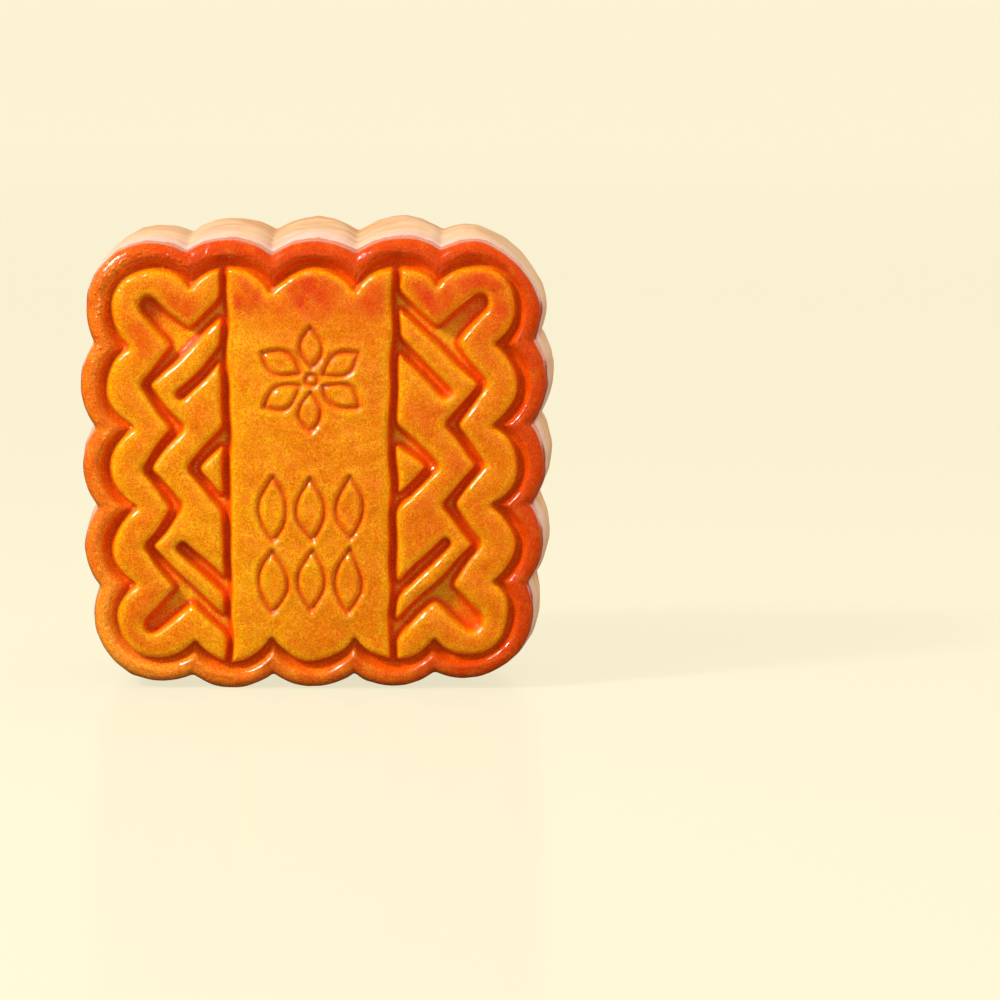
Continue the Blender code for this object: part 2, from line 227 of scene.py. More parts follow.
def edge_ring(growth):
    """The scalloped edge as the mesh's ring of points, with lobe radii changed by growth and soft cusps.
    It starts at the middle of the lower right corner lobe."""
    circles = lobe_circles(REACH + growth, LOBE_RADIUS + growth, CORNER_AT, CORNER_RADIUS + growth)
    ring = scallops(circles, LOBE_STEPS, 2 * LOBE_STEPS)
    ring = np.roll(ring, LOBE_STEPS, axis=0)
    for _ in range(3):
        ring = (np.roll(ring, 1, 0) + 2 * ring + np.roll(ring, -1, 0)) / 4
    return ring


def pattern_outline():
    """The scalloped outline inside the rim that the pattern's pieces fill together."""
    circles = lobe_circles(PATTERN_REACH, PATTERN_RADIUS, PATTERN_CORNER_AT, PATTERN_CORNER_RADIUS)
    return scallops(circles, 12, 24)


def rounded(corners, radius=CORNER_ROUNDING, steps=5):
    """A polygon with each sharp turn made a short curve: a quadratic one, from side to side."""
    before = corners - np.roll(corners, 1, 0)
    after = np.roll(before, -1, 0)
    lengths = np.linalg.norm(before, axis=1) * np.linalg.norm(after, axis=1)
    sharp = (before * after).sum(1) < math.cos(SHARP_TURN) * lengths
    points = []
    for i, corner in enumerate(corners):
        if not sharp[i]:
            points.append(corner)
            continue
        back, on = -before[i], after[i]
        reach = min(radius, np.linalg.norm(back) * 0.45, np.linalg.norm(on) * 0.45)
        a = corner + back / np.linalg.norm(back) * reach
        b = corner + on / np.linalg.norm(on) * reach
        for t in np.linspace(0, 1, steps + 1):
            points.append((1 - t) ** 2 * a + 2 * t * (1 - t) * corner + t**2 * b)
    return np.array(points)


def kept_between(outline, low, high):
    """The outline cut off at u = low and at u = high."""
    points = []
    for i, here in enumerate(outline):
        there = outline[(i + 1) % len(outline)]
        if low < here[0] < high:
            points.append(here)
        crossed = [
            here + (there - here) * (limit - here[0]) / (there[0] - here[0])
            for limit in (low, high)
            if (here[0] - limit) * (there[0] - limit) < 0
        ]
        points += sorted(crossed, key=lambda point: np.linalg.norm(point - here))
    return np.array(points)


def slot_end():
    """The corner slot's round end, from its upper edge round to its lower edge."""
    angles = np.radians(np.arange(135, -46, -30))
    return SLOT_END + SLOT_END_RADIUS * np.stack([np.cos(angles), np.sin(angles)], 1)


def ribbon_polygon(near):
    """The right side's ribbon beside the rim. near is how far across its edge by the panel lies."""
    outer = kept_between(pattern_outline(), near, 99.0)
    start = int(np.argmin(np.where(outer[:, 1] < 0, outer[:, 0], 99.0)))
    outer = np.roll(outer, -start, axis=0)
    elbow = np.array(RIBBON_ELBOW)
    top_end = np.array([[near, elbow.sum() - near]])
    swings = [(ZIGZAG_INNER, 1.5), (ZIGZAG_OUTER, 1), (ZIGZAG_INNER, 0.5), (ZIGZAG_OUTER, 0)]
    upper = np.concatenate([top_end, [elbow], slot_end(), [(u, rise * PITCH) for u, rise in swings]])
    return np.concatenate([outer, upper, (upper[:-1] * (1, -1))[::-1]])


def block_polygon(near):
    """The right side's pointed block, with a slanting notch cut into it above and below."""
    halves = []
    for inner, outer, end in (UPPER_NOTCH, LOWER_NOTCH):
        half = [
            (near, ANGLE_END),
            (near, inner - near),
            ((inner + end) / 2, (inner - end) / 2),
            ((outer + end) / 2, (outer - end) / 2),
            (near, outer - near),
            (near, PITCH + BLOCK_OUTER - near),
            (BLOCK_OUTER, PITCH),
            (BLOCK_INNER, PITCH / 2),
        ]
        halves.append(np.array(half))
    upper, lower = halves[0], (halves[1] * (1, -1))[::-1]
    return np.concatenate([[(ANGLE_MIDDLE, 0)], upper, [(BLOCK_OUTER, 0)], lower])[::-1]


def triangle_polygon(near):
    """The right side's small triangle, with its long side by the panel."""
    return np.array([(near, TRIANGLE_FOOT), (TRIANGLE_MIDDLE, 0), (near, TRIANGLE_TOP)])


def pattern_polygons():
    """Every raised piece of the pattern, as rounded outlines."""
    polygons = [kept_between(pattern_outline(), PANEL_LEFT, PANEL_RIGHT)]
    for side, near in ((-1, PANEL_GROOVE - PANEL_LEFT), (1, PANEL_GROOVE + PANEL_RIGHT)):
        for make in (ribbon_polygon, block_polygon, triangle_polygon):
            polygons.append(make(near) * (side, 1))
    return [rounded(polygon) for polygon in polygons]


def leaf_outline(length, width, steps=12):
    """An upright pointed oval: its half width follows a sine along its length."""
    t = np.linspace(0, math.pi, steps + 1)[:-1]
    right = np.stack([np.sin(t) * width / 2, (t / math.pi - 0.5) * length], 1)
    return np.concatenate([right, -right])


def ornament_outlines():
    """The rosette's petals and eye, and the two rows of leaves."""
    lines = []
    middle = (ORNAMENT_ACROSS, ROSETTE_UP)
    petal = leaf_outline(PETAL_TO - PETAL_FROM, PETAL_WIDTH) + (0, (PETAL_FROM + PETAL_TO) / 2)
    for i in range(ROSETTE_PETALS):
        cos, sin = math.cos(2 * math.pi * i / ROSETTE_PETALS), math.sin(2 * math.pi * i / ROSETTE_PETALS)
        lines.append(petal @ np.array([[cos, sin], [-sin, cos]]) + middle)
    around = np.linspace(0, 2 * math.pi, 17)[:-1]
    lines.append(EYE_RADIUS * np.stack([np.cos(around), np.sin(around)], 1) + middle)
    for up in LEAF_ROWS_UP:
        for column in (-1, 0, 1):
            lines.append(leaf_outline(LEAF_LENGTH, LEAF_WIDTH) + (ORNAMENT_ACROSS + column * LEAF_PITCH, up))
    return lines


# ---- the relief, as functions of u and v ----


def distance_to(outline, u, v):
    """How far each point is from a closed outline."""
    nearest = np.full(u.shape, 1e9)
    for a, b in zip(outline, np.roll(outline, -1, 0)):
        along = b - a
        t = np.clip(((u - a[0]) * along[0] + (v - a[1]) * along[1]) / max(along @ along, 1e-12), 0, 1)
        nearest = np.minimum(nearest, (u - a[0] - t * along[0]) ** 2 + (v - a[1] - t * along[1]) ** 2)
    return np.sqrt(nearest)


def inside(outline, u, v):
    """Whether each point is inside a closed outline, by counting the sides that a ray crosses."""
    odd = np.zeros(u.shape, bool)
    for a, b in zip(outline, np.roll(outline, -1, 0)):
        if a[1] == b[1]:
            continue
        crosses = (a[1] > v) != (b[1] > v)
        odd ^= crosses & (u < a[0] + (b[0] - a[0]) * (v - a[1]) / (b[1] - a[1]))
    return odd


def signed_distance(outline, u, v):
    """Distance to the outline, positive inside it."""
    return distance_to(outline, u, v) * np.where(inside(outline, u, v), 1, -1)


def rim_inside(u, v):
    """How far inside the scalloped edge each point is: for the lobe it is deepest in, radius less distance,
    and at the middle of the face, past all lobes, the distance in from a square."""
    circles = lobe_circles(REACH, LOBE_RADIUS, CORNER_AT, CORNER_RADIUS)
    depths = [r - np.hypot(u - cu, v - cv) for cu, cv, r in circles]
    depths = np.stack([*depths, FACE_SQUARE - np.maximum(np.abs(u), np.abs(v))])
    sharpness = 5.0
    return np.log(np.exp(sharpness * (depths - depths.max(0))).sum(0)) / sharpness + depths.max(0)


def shoulder_depth(inside_edge):
    """Depth behind the crest of the rim's outer shoulder: a quarter of a squarish ellipse."""
    share = np.clip(1 - inside_edge / CREST_INSIDE, 0, 1)
    return SHOULDER_DEPTH * (1 - (1 - share**SQUARENESS) ** (1 / SQUARENESS))


def face_relief(u, v):
    """The pressed face: depth behind the crest and what the looks need to know about each point.
    The rim falls from its crest to the floor, the pattern rises from the floor with soft shoulders, and
    thin grooves are sunk into the panel."""
    pu = u + WANDER * ripple(u, v, 0 * u, 9.0, 11)
    pv = v + WANDER * ripple(u, v, 0 * u, 9.0, 12)
    rim = rim_inside(u, v)
    rim_height = RECESS * smooth(WALL_FOOT, WALL_TOP, rim)
    pattern = np.max([signed_distance(outline, pu, pv) for outline in pattern_polygons()], axis=0)
    wall = smooth(-PATTERN_WALL, PATTERN_WALL, pattern)
    soft_shoulder = PLATEAU_DROP * np.exp(-np.clip(pattern - 0.1, 0, None) / PLATEAU_SPREAD)
    pattern_height = (RECESS + PATTERN_RISE) * wall - soft_shoulder * wall
    groove = np.min([distance_to(outline, pu, pv) for outline in ornament_outlines()], axis=0)
    cut = np.exp(-((groove / GROOVE_SPREAD) ** 2))
    lip = np.exp(-(((groove - LIP_OUT) / LIP_SPREAD) ** 2))
    pattern_height += LIP_RISE * lip - GROOVE_DEPTH * cut
    height = np.maximum(rim_height, pattern_height)
    lumps = LUMPS * ripple(u, v, 0 * u, 5.5, 21)
    height += lumps + FINE_LUMPS * ripple(u, v, 0 * u, 2.4, 22, 14)
    depth = np.where(rim < CREST_INSIDE, shoulder_depth(rim) + lumps, RECESS - height)
    return depth, {"rim": rim, "pattern": pattern, "cut": cut, "lip": lip}


def pulled_in(u, v):
    """The upper right corner drawn in a little along its diagonal."""
    pull = CORNER_PULL * smooth(60, 71, u + v)
    return u - pull, v - pull


def bake(u, d, v):
    """Mould to baked cake: squashed, wider at the head, a little higher at the right and at the top
    corners, and swollen at the middle of its face. Returns x, y, z."""
    u, v = pulled_in(u, v)
    x = u * (1 + TAPER * v / REACH)
    deep = d / THICKNESS
    rise = HEAD_RISE * (1 + 2 * deep) + CORNER_RISE * (1 - deep) * (u / REACH) ** 2
    z = v * SQUASH + LEAN * u + rise * np.clip(v / REACH, 0, None) ** 2
    swell = np.clip(1 - (u / REACH) ** 2, 0, 1) * np.clip(1 - (v / REACH) ** 2, 0, 1)
    y = d - DOME * swell * np.clip(1 - deep, 0, 1) ** 2
    return x, y, z


# ---- the mesh ----


def square_ring(cells):
    """The border of a grid of cells x cells, as (column, row), anticlockwise from the lower right corner."""
    run = np.arange(cells)
    right = np.stack([np.full(cells, cells), run], 1)
    top = np.stack([cells - run, np.full(cells, cells)], 1)
    left = np.stack([np.zeros(cells, int), cells - run], 1)
    foot = np.stack([run, np.zeros(cells, int)], 1)
    return np.concatenate([right, top, left, foot])


def filled_ring(ring, cells):
    """A grid stretched to a ring of 4 x cells points. A grid point's square ring runs parallel to the
    border, and its place is a mix, by how near the border it is, of a plain square and the ring itself."""
    column, row = np.meshgrid(np.arange(cells + 1), np.arange(cells + 1), indexing="ij")
    a, b = 2 * column / cells - 1, 2 * row / cells - 1
    size = np.maximum(np.abs(a), np.abs(b))
    safe = np.where(size == 0, 1, size)
    side_u, side_v = a / safe, b / safe
    along = np.select(
        [side_u >= 1 - 1e-9, side_v >= 1 - 1e-9, side_u <= -1 + 1e-9],
        [(side_v + 1) / 2, 1 + (1 - side_u) / 2, 2 + (1 - side_v) / 2],
        3 + (side_u + 1) / 2,
    )
    spot = (along % 4) * cells
    whole = np.floor(spot).astype(int) % len(ring)
    part = (spot - np.floor(spot))[..., None]
    border = ring[whole] * (1 - part) + ring[(whole + 1) % len(ring)] * part
    half = np.abs(ring).max() * 0.93
    plain = np.stack([side_u, side_v], -1) * half
    near = smooth(0.35, 1.0, size)[..., None]
    return size[..., None] * (plain * (1 - near) + border * near)


def grid_faces(index):
    """Quads between neighbouring points of a grid of vertex numbers."""
    return np.stack([index[:-1, :-1], index[1:, :-1], index[1:, 1:], index[:-1, 1:]], -1).reshape(-1, 4)


def band_faces(front, back):
    """Quads between two rings of equal count."""
    return np.stack([front, back, np.roll(back, -1), np.roll(front, -1)], 1)


def halving_faces(front, back):
    """Triangles between a ring and one with half as many points."""
    a, b, c = front[0::2], front[1::2], np.roll(front, -2)[0::2]
    d, e = back, np.roll(back, -1)
    return np.concatenate([np.stack([a, d, b], 1), np.stack([b, d, e], 1), np.stack([b, e, c], 1)])


def side_rings():
    """Growth and depth of each ring behind the face's grid: the rest of the rim's shoulder, the bulging
    side, and the back's rounded edge."""
    power = 2 / SQUARENESS
    start = math.asin((1 - FACE_INSIDE / CREST_INSIDE) ** (1 / power))
    rings = []
    for t in np.linspace(start, math.pi / 2, 9)[1:]:
        growth = -CREST_INSIDE * (1 - math.sin(t) ** power)
        rings.append((growth, SHOULDER_DEPTH * (1 - abs(math.cos(t)) ** power)))
    for share in np.linspace(0, 1, 15)[1:] ** 1.5:
        depth = SHOULDER_DEPTH + share * (THICKNESS - BACK_RADIUS - SHOULDER_DEPTH)
        part = min(1.0, depth / (THICKNESS - BACK_RADIUS) / BULGE_AT)
        rings.append((BULGE * math.sin(part * math.pi / 2) ** 1.5, depth))
    for t in np.linspace(0, math.pi / 2, 7)[1:]:
        growth = BULGE - BACK_RADIUS * (1 - math.cos(t))
        rings.append((growth, THICKNESS - BACK_RADIUS * (1 - math.sin(t))))
    return rings


def crust_colours(u, v, d, about):
    """The face's colour: orange plateaus with yellow edges (thin glaze, with a painted highlight), yellower
    on the left as painted light, redder where the crust stood proud in the oven and towards the right and the
    top, brown in the grooves (pooled glaze, with painted shade that also runs up the walls), and mustard on
    the wide patches of floor."""
    spots = ripple(u, v, 0 * u, 3.2, 31, 16)
    clouds = ripple(u, v, 0 * u, 9.0, 32, 12)
    pattern, rim = about["pattern"], about["rim"]
    inner = smooth(0.8, 2.0, pattern)
    # Yellower in random patches and on two spots of the panel, and towards the left as painted light from the
    # lamp's side.
    glow = 0.12 * clouds + 0.38 * smooth(0, -12, u) * smooth(-26, -15, u)
    glow += 0.35 * hump(u, v, -1, 9, 7) + 0.2 * hump(u, v, 0, -13, 9)
    # Yellow along the plateaus' edges, from thin glaze with a painted highlight, and on the grooves' lips as
    # a painted highlight.
    yellow = 0.85 * (1 - smooth(0.3, 2.4, pattern)) + inner * glow
    yellow = np.clip(yellow + 0.35 * about["lip"], 0, 1)
    colour = blend(CRUST_ORANGE, CRUST_YELLOW, yellow)
    # Redder towards the right and towards the top.
    colour = blend(colour, CRUST_RED, 0.22 * smooth(4, 32, u) + 0.12 * smooth(12, 32, v))
    proud = np.zeros_like(u)
    for at_u, at_v, size, much in (
        (-0.5, 29.5, 3.4, 1.0),
        (-11.0, 28.0, 2.6, 0.85),
        (9.5, 27.5, 2.4, 0.75),
        (-20.5, 25.8, 2.4, 0.75),
        (-26.5, 22.0, 2.6, 0.6),
        (18.0, 27.0, 3.0, 0.9),
        (26.5, 29.5, 3.0, 0.8),
        (30.0, 24.0, 3.0, 0.6),
        (-18.5, 8.5, 2.2, 0.35),
        (18.5, 8.5, 2.6, 0.4),
        (23.5, 0.0, 2.2, 0.4),
        (19.0, -8.0, 2.8, 0.3),
        (-27.5, -14.0, 3.2, 0.35),
        (-26.5, -25.0, 3.2, 0.7),
        (0.0, 4.0, 8.0, 0.15),
    ):
        proud += much * hump(u, v, at_u, at_v, size)
    proud = np.clip(proud * (1 + 0.10 * spots) + 0.05 * spots, 0, 1) * smooth(0.2, 1.6, pattern)
    colour = blend(colour, CRUST_RED, proud)
    # The rim is redder towards the top and the right, and paler at the lower left corner.
    high, right = smooth(-5, 34, v) * smooth(-36, -22, u), smooth(-10, 38, u)
    rim_redness = np.clip(0.15 + 0.9 * np.maximum(high, right) + 0.12 * spots, 0, 1)
    rim_colour = blend(RIM_ORANGE, RIM_RED, rim_redness)
    rim_colour = blend(rim_colour, RIM_PALE, hump(u, v, -33, -30, 9))
    rim_share = smooth(4.1, 3.2, rim)
    colour = blend(colour, rim_colour, rim_share)
    # The groove colour reaches up the pattern's walls as painted shade; on the floors it is pooled glaze with
    # painted shade, mustard where they are wide, and browner at the slots' round ends as painted shade.
    floor_share = smooth(0.5, -0.25, pattern) * (1 - rim_share)
    wide = smooth(-0.55, -1.25, pattern) * smooth(4.0, 5.0, rim)
    slot_ends = hump(np.abs(u), np.abs(v), SLOT_END - 0.8, SLOT_END - 0.8, 2.6)
    floor_colour = blend(GROOVE_GLAZE_AND_SHADE, FLOOR_MUSTARD, wide * (1 - 0.75 * slot_ends))
    colour = blend(colour, floor_colour, floor_share)
    # The foot of the rim's inner wall takes the groove colour, as painted shade with pooled glaze.
    foot = smooth(2.6, 3.8, rim) * rim_share
    colour = blend(colour, GROOVE_GLAZE_AND_SHADE, 0.85 * foot)
    # The ornament's grooves take the groove colour, as painted shade with pooled glaze.
    colour = blend(colour, GROOVE_GLAZE_AND_SHADE, 0.75 * about["cut"])
    return colour


def near_cusp(u, v, size):
    """1 where two lobes of the edge meet, fading outwards as a bell."""
    circles = lobe_circles(REACH, LOBE_RADIUS, CORNER_AT, CORNER_RADIUS)
    cusps = [cusp(circles[i - 1], circle) for i, circle in enumerate(circles)]
    nearest = np.min([np.hypot(u - at[0], v - at[1]) for at in cusps], axis=0)
    return np.exp(-((nearest / size) ** 2))


def side_colours(u, v, d):
    """The side's colour: pale pastry with a painted pinkish sheen just behind the rim, and browner in streaks
    round the back.
    """
    streaks = ripple(u * 0.3, v * 0.3, d * 1.6, 3.2, 41, 16) * (1 - 0.8 * smooth(27, 31, d))
    clouds = ripple(u, v, d, 11.0, 42)
    # Pinkish-white just behind the rim: a painted sheen.
    pale = blend(SIDE_PEACH, SIDE_PAINTED_SHEEN, np.clip(smooth(12, 4, d) + 0.2 * clouds, 0, 1))
    brown = 0.05 + 0.65 * smooth(9, 30, d) + (0.08 + 0.25 * smooth(4, 16, d)) * streaks + 0.12 * clouds
    brown += near_cusp(u, v, 2.4) * smooth(5, 12, d) * (0.45 + 0.3 * streaks)
    return blend(pale, BACK_TAN, np.clip(brown, 0, 1))


def glaze_on_side(u, v, d):
    """How much egg glaze is left: all of it on the face, none past the shoulder, with an uneven edge."""
    limit = GLAZE_REACH + GLAZE_EXTRA * np.maximum(smooth(25, 36, v), smooth(25, 36, u))
    limit += 0.25 * ripple(u, v, 0 * u, 4.0, 51) + 0.15 * ripple(u, v, 0 * u, 1.6, 52)
    return smooth(limit + 0.5, limit - 0.4, d)


def glaze_beads(u, v):
    """Where the glaze dried in tiny beads: mostly on the rim's upper left corner, less down its left side."""
    rim = smooth(4.2, 3.0, rim_inside(u, v))
    corner = hump(u, v, -29, 31, 9)
    along_rim = corner + 0.35 * smooth(-30, -35, u) + 0.25 * smooth(30, 34, v)
    return np.clip(rim * along_rim + 0.4 * corner, 0, 1)


def make_cake():
    """One closed mesh: the face's grid, the side's rings, halving rings on the back and a small grid."""
    face = filled_ring(edge_ring(-FACE_INSIDE), CELLS)
    u, v = face[..., 0].ravel(), face[..., 1].ravel()
    depth, about = face_relief(u, v)
    colour = crust_colours(u, v, depth, about)
    pooled = smooth(0.3, -0.5, about["pattern"]) * smooth(2.8, 3.5, about["rim"])
    sheets = [(u, v, depth, colour, np.ones_like(u), pooled)]
    index = np.arange((CELLS + 1) ** 2).reshape(CELLS + 1, CELLS + 1)
    faces = [grid_faces(index)]
    border = square_ring(CELLS)
    ring = index[border[:, 0], border[:, 1]]
    count = (CELLS + 1) ** 2
    rim_colour = colour[ring]
    for growth, ring_depth in side_rings():
        points = edge_ring(growth)
        ru, rv = points.T
        out = points / np.linalg.norm(points, axis=1)[:, None]
        rd = np.full(len(ru), ring_depth)
        wear = 0.05 * ripple(ru, rv, rd * 0.3, 3.0, 61, 12) + 0.09 * ripple(ru, rv, rd, 12.0, 62)
        wear *= min(1.0, ring_depth / 3)
        swelling = max(growth, 0.0)
        wear += swelling * (0.3 * smooth(26, 36, ru) - 0.65 * smooth(-26, -36, ru))
        ru, rv = ru + out[:, 0] * wear, rv + out[:, 1] * wear
        rd += LUMPS * ripple(ru, rv, 0 * ru, 5.5, 21) * max(0.0, 1 - ring_depth / 3)
        glaze = glaze_on_side(ru, rv, rd)
        side = side_colours(ru, rv, rd)
        sheets.append((ru, rv, rd, blend(side, rim_colour, glaze), glaze, 0 * ru))
        here = count + np.arange(len(ru))
        faces.append(band_faces(ring, here))
        ring = here
        count += len(ru)
    outline = edge_ring(BULGE - BACK_RADIUS)
    for inner in BACK_RINGS:
        outline_here = outline[:: len(outline) // (len(ring) // 2)] * inner
        ru, rv = outline_here.T
        rd = np.full(len(ru), THICKNESS + 0.0)
        sheets.append((ru, rv, rd, side_colours(ru, rv, rd), 0 * ru, 0 * ru))
        here = count + np.arange(len(ru))
        faces.append(halving_faces(ring, here))
        ring = here
        count += len(ru)
    cells = CELLS // BACK_SHARE
    back = filled_ring(outline[::BACK_SHARE] * BACK_RINGS[-1], cells)
    back_index = np.full((cells + 1, cells + 1), -1)
    back_border = square_ring(cells)
    back_index[back_border[:, 0], back_border[:, 1]] = ring
    free = back_index < 0
    back_index[free] = count + np.arange(free.sum())
    ru, rv = back[free].T
    rd = THICKNESS - 0.12 + 0.10 * ripple(ru, rv, 0 * ru, 14.0, 71)
    sheets.append((ru, rv, rd, side_colours(ru, rv, rd), 0 * ru, 0 * ru))
    faces.append(grid_faces(back_index)[:, ::-1])
    return sheets, faces


def standing(x, y, z):
    """In metres, set in the CAD model's place: the mould's middle over the box's, the face and the top
    where the CAD has them, and what reaches below the floor pressed flat on it."""
    points = np.stack([x, y, z], 1) / 1000
    points[:, 0] += (CAD_LOW.x + CAD_HIGH.x) / 2
    points[:, 1] += CAD_LOW.y - points[:, 1].min()
    points[:, 2] += CAD_HIGH.z - points[:, 2].max()
    points[:, 2] = np.maximum(points[:, 2], 0)
    return points


def add_attribute(mesh, name, values):
    """A number for each point, which a material reads by name."""
    attribute = mesh.attributes.new(name, "FLOAT", "POINT")
    attribute.data.foreach_set("value", np.asarray(values, np.float32))


def add_colours(mesh, name, values):
    """A colour for each point, which a material reads by name."""
    attribute = mesh.attributes.new(name, "FLOAT_COLOR", "POINT")
    rgba = np.column_stack([np.clip(values, 0, 1), np.ones(len(values))])
    attribute.data.foreach_set("color", rgba.astype(np.float32).ravel())


def cake_object():
    """The cake's mesh in its place, with what its material reads."""
    sheets, faces = make_cake()
    u, v, d, colour, glaze, pooled = (np.concatenate(part) for part in zip(*sheets))
    points = standing(*bake(u, d, v))
    lists = [face for part in faces for face in part.tolist()]
    mesh = bpy.data.meshes.new("crust")
    mesh.from_pydata(points.tolist(), [], lists)
    add_colours(mesh, "baked_colour", colour)
    add_attribute(mesh, "glaze", glaze)
    add_attribute(mesh, "pooled", pooled)
    add_attribute(mesh, "beaded", glaze_beads(u, v))
    mesh.shade_smooth()
    mesh.update()
    cake = bpy.data.objects.new("crust", mesh)
    bpy.context.scene.collection.objects.link(cake)
    return cake


# ---- shaders ----


class Wire:
    """A shader value that can be added, multiplied and mixed, so that a look reads as a sum."""

    def __init__(self, tree, socket):
        self.tree, self.socket = tree, socket

    def node(self, kind, settings=(), **inputs):
        """Any node, with its settings and inputs by name. Returns the node."""
        made = self.tree.nodes.new(kind)
        for name, value in dict(settings).items():
            setattr(made, name, value)
        for name, value in inputs.items():
            self.feed(made.inputs[name.replace("_", " ")], value)
        return made

    def feed(self, socket, value):
        if isinstance(value, Wire):
            self.tree.links.new(value.socket, socket)
        elif isinstance(value, bpy.types.NodeSocket):
            self.tree.links.new(value, socket)
        else:
            socket.default_value = value

    def maths(self, operation, *values, clamp=False):
        made = self.node("ShaderNodeMath", {"operation": operation, "use_clamp": clamp})
        for socket, value in zip(made.inputs, values):
            self.feed(socket, value)
        return Wire(self.tree, made.outputs[0])

    def __add__(self, other):
        return self.maths("ADD", self, other)

    def __radd__(self, other):
        return self.maths("ADD", other, self)

    def __sub__(self, other):
        return self.maths("SUBTRACT", self, other)

    def __rsub__(self, other):
        return self.maths("SUBTRACT", other, self)

    def __mul__(self, other):
        return self.maths("MULTIPLY", self, other)

    def __rmul__(self, other):
        return self.maths("MULTIPLY", other, self)

    def clamped(self):
        return self.maths("ADD", self, 0.0, clamp=True)

    def noise(self, size_mm, detail=2.0, roughness=0.5):
        """Noise around 0, from about -1 to 1, with blotches of that size. self is the place."""
        settings = {"Scale": 1000 / size_mm, "Detail": detail, "Roughness": roughness}
        made = self.node("ShaderNodeTexNoise", Vector=self, **settings)
        return (Wire(self.tree, made.outputs["Fac"]) - 0.5) * 3.0

    def tinted(self, colour, share, how="MIX"):
        """This colour mixed with another one, or multiplied by it, by a share."""
        made = self.node("ShaderNodeMix", {"data_type": "RGBA", "blend_type": how})
        self.feed(made.inputs[0], share)
        self.feed(made.inputs[6], self)
        self.feed(made.inputs[7], colour if isinstance(colour, Wire) else (*colour, 1))
        return Wire(self.tree, made.outputs[2])


def new_material(name):
    """A material with its Principled node and a Wire to build from."""
    material = bpy.data.materials.new(name)
    material.use_nodes = True
    shader = material.node_tree.nodes["Principled BSDF"]
    return material, shader, Wire(material.node_tree, None)


def light_path(wires, output):
    """1 for rays of one kind, such as those from the camera, and 0 for all others."""
    return Wire(wires.tree, wires.node("ShaderNodeLightPath").outputs[output])


def flat_colour(wires, colour):
    """One colour as a Wire, to mix from."""
    made = wires.node("ShaderNodeRGB")
    made.outputs[0].default_value = (*colour, 1)
    return Wire(wires.tree, made.outputs[0])


def attribute_wire(wires, name, output="Fac"):
    made = wires.node("ShaderNodeAttribute", {"attribute_name": name})
    return Wire(wires.tree, made.outputs[output])


def crust_material():
    """Glazed crust with fine golden mottling, glossier where the glaze pooled, and dull pale sides."""
    material, shader, wires = new_material("crust")
    place = Wire(wires.tree, wires.node("ShaderNodeTexCoord").outputs["Object"])
    baked = attribute_wire(wires, "baked_colour", "Color")
    glaze = attribute_wire(wires, "glaze")
    pooled = attribute_wire(wires, "pooled")
    fine = place.noise(0.22, 1.0)
    grain = place.noise(0.55, 2.0)
    blotch = place.noise(1.9, 2.0)
    stretched = wires.node("ShaderNodeVectorMath", {"operation": "MULTIPLY"})
    wires.feed(stretched.inputs[0], place)
    stretched.inputs[1].default_value = (0.3, 1.7, 0.3)
    creases = Wire(wires.tree, stretched.outputs[0]).noise(1.1, 3.0, 0.6)
    mottling = 1.7 * fine + 0.7 * grain + 0.3 * blotch
    colour = baked.tinted((1.12, 1.7, 1.3), mottling.clamped() * glaze, "MULTIPLY")
    colour = colour.tinted((0.94, 0.62, 0.5), (-1.0 * mottling).clamped() * glaze, "MULTIPLY")
    colour = colour.tinted(tone(212, 124, 84), (0.8 * creases + 0.3 * grain).clamped() * (1 - glaze) * 0.75)
    wires.feed(shader.inputs["Base Color"], colour)
    rough = 0.13 + 0.03 * blotch + (1 - glaze) * 0.34 - 0.04 * pooled
    wires.feed(shader.inputs["Roughness"], rough)
    coat = (glaze * 0.5 + 0.25 * blotch * glaze).clamped()
    wires.feed(shader.inputs["Coat Weight"], coat)
    shader.inputs["Coat Roughness"].default_value = 0.06
    shader.inputs["Specular IOR Level"].default_value = 0.7
    shader.inputs["Subsurface Weight"].default_value = 0.1
    shader.inputs["Subsurface Scale"].default_value = 0.0015
    shader.inputs["Subsurface Radius"].default_value = (1.0, 0.45, 0.2)
    beaded = attribute_wire(wires, "beaded")
    beads = (place.noise(0.8, 1.0) - 0.1).clamped()
    crisp = (0.5 + 0.6 * blotch).clamped()
    glazed_relief = crisp * (0.2 * fine + 0.9 * grain) + beaded * 3.0 * beads
    relief = glaze * glazed_relief + (1 - glaze) * (creases + 0.4 * grain)
    bump = wires.node("ShaderNodeBump", Strength=1.0, Distance=0.00008, Height=relief)
    wires.feed(shader.inputs["Normal"], bump.outputs["Normal"])
    return material


def table_material():
    """A matt cream table under a thin coat that mirrors faintly. The camera sees it pale whatever the lamps
    do, and a little paler far behind the cake. What mirrors in the glaze sees it dark."""
    material, shader, wires = new_material("table")
    seen, mirrored = light_path(wires, "Is Camera Ray"), light_path(wires, "Is Glossy Ray")
    matt = flat_colour(wires, TABLE_CREAM * 0.14).tinted(TABLE_CREAM * 0.02, mirrored)
    wires.feed(shader.inputs["Base Color"], matt)
    shader.inputs["Specular IOR Level"].default_value = 0.0
    shader.inputs["Coat Weight"].default_value = 0.15
    shader.inputs["Coat Roughness"].default_value = 0.15
    place = wires.node("ShaderNodeSeparateXYZ", Vector=wires.node("ShaderNodeTexCoord").outputs["Object"])
    far = ((Wire(wires.tree, place.outputs["Y"]) - 0.3) * 0.9).clamped()
    glow = flat_colour(wires, TABLE_CREAM * 0.05).tinted(TABLE_CREAM * 0.02, mirrored)
    glow = glow.tinted(TABLE_CREAM * 0.85, seen).tinted(TABLE_CREAM * 0.93, seen * far)
    wires.feed(shader.inputs["Emission Color"], glow)
    shader.inputs["Emission Strength"].default_value = 1.0
    return material


# ---- stage ----


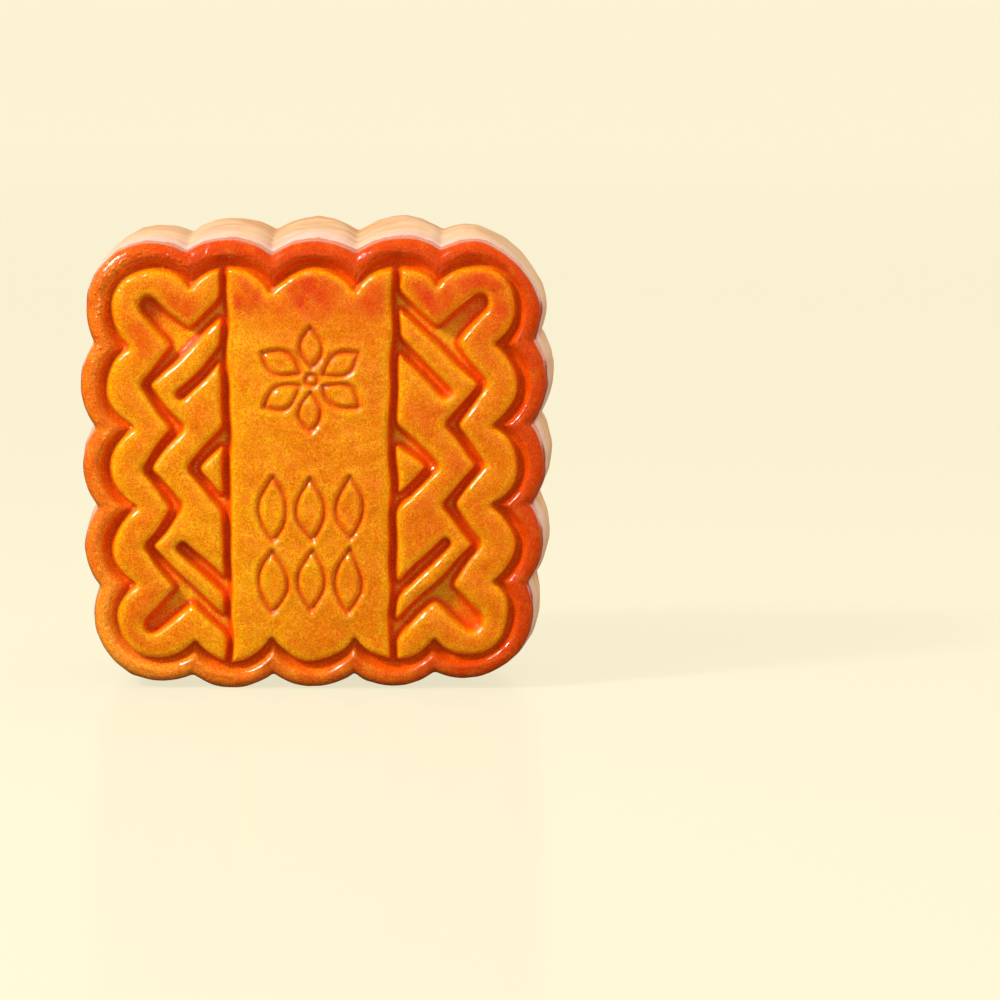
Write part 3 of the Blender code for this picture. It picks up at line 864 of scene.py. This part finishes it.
def make_table():
    """A wide cream floor just under the cake."""
    mesh = bpy.data.meshes.new("table")
    half = 6.0
    below = -0.0001
    corners = [(-half, -half, below), (half, -half, below), (half, half, below), (-half, half, below)]
    mesh.from_pydata(corners, [], [(0, 1, 2, 3)])
    table = bpy.data.objects.new("table", mesh)
    bpy.context.scene.collection.objects.link(table)
    mesh.materials.append(table_material())
    return table


def make_world():
    """Cream for the camera, and a soft warm surround for the light. What mirrors in the glaze sees it dim,
    but for cream straight behind the cake."""
    world = bpy.data.worlds.new("studio")
    bpy.context.scene.world = world
    world.use_nodes = True
    wires = Wire(world.node_tree, None)
    background = world.node_tree.nodes["Background"]
    seen, mirrored = light_path(wires, "Is Camera Ray"), light_path(wires, "Is Glossy Ray")
    way = wires.node("ShaderNodeSeparateXYZ", Vector=wires.node("ShaderNodeTexCoord").outputs["Generated"])
    behind = (Wire(wires.tree, way.outputs["Y"]) - 0.5) * 2.5
    glossy = flat_colour(wires, (0.05, 0.045, 0.04)).tinted(TABLE_CREAM * 0.85, behind.clamped())
    colour = flat_colour(wires, (0.45, 0.42, 0.37)).tinted(glossy, mirrored).tinted(TABLE_CREAM, seen)
    wires.feed(background.inputs["Color"], colour)
    background.inputs["Strength"].default_value = 1.0


def area_light(name, aim, direction, distance, width, height, power, mirrored=True):
    """A soft box that far from the aim, facing it, and left out of reflections unless mirrored."""
    light = bpy.data.lights.new(name, "AREA")
    light.shape = "RECTANGLE"
    light.size, light.size_y, light.energy = width, height, power
    lamp = bpy.data.objects.new(name, light)
    towards = Vector(direction).normalized()
    lamp.location = aim + towards * distance
    lamp.visible_glossy = mirrored
    lamp.rotation_mode = "QUATERNION"
    lamp.rotation_quaternion = (-towards).to_track_quat("-Z", "Y")
    bpy.context.scene.collection.objects.link(lamp)


def make_camera(aim):
    """A long lens, a little above and to the right, with the cake left of and just above the middle."""
    azimuth, elevation, distance = math.radians(1.6), math.radians(6.5), 1.0
    camera = bpy.data.cameras.new("camera")
    camera.lens, camera.sensor_width = 223, 36
    camera.clip_start, camera.clip_end = 0.05, 40
    spot = Vector((
        math.sin(azimuth) * math.cos(elevation),
        -math.cos(azimuth) * math.cos(elevation),
        math.sin(elevation),
    ))
    eye = bpy.data.objects.new("camera", camera)
    eye.location = aim + spot * distance
    eye.rotation_mode = "QUATERNION"
    field = camera.sensor_width / camera.lens
    in_view = Vector((-0.1865 * field, 0.0363 * field, -1))
    aside = in_view.rotation_difference(Vector((0, 0, -1)))
    eye.rotation_quaternion = (-spot).to_track_quat("-Z", "Y") @ aside
    bpy.context.scene.collection.objects.link(eye)
    bpy.context.scene.camera = eye


def main():
    """Everything in its place."""
    cake = cake_object()
    cake.data.materials.append(crust_material())
    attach(cake, "root")
    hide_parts("mooncake")
    make_table()
    make_world()
    middle = Vector((0, CAD_LOW.y + AIM_BEHIND, CAD_HIGH.z - AIM_BELOW))
    area_light("key", middle, (-0.62, -0.55, 0.62), 0.75, 0.34, 0.34, 2.0, mirrored=False)
    area_light("glint", middle, (-0.64, -0.46, 0.62), 0.75, 0.11, 0.08, 4.0)
    area_light("crown", middle, (0.35, 0.55, 0.85), 0.80, 0.45, 0.35, 0.7, mirrored=False)
    area_light("fill", middle, (0.15, -1.0, 0.25), 1.3, 0.9, 0.9, 3.8, mirrored=False)
    area_light("side", middle, (1.0, -0.15, 0.25), 0.8, 0.4, 0.4, 2.6, mirrored=False)
    make_camera(middle)
    scene = bpy.context.scene
    scene.view_settings.view_transform = "Standard"


main()
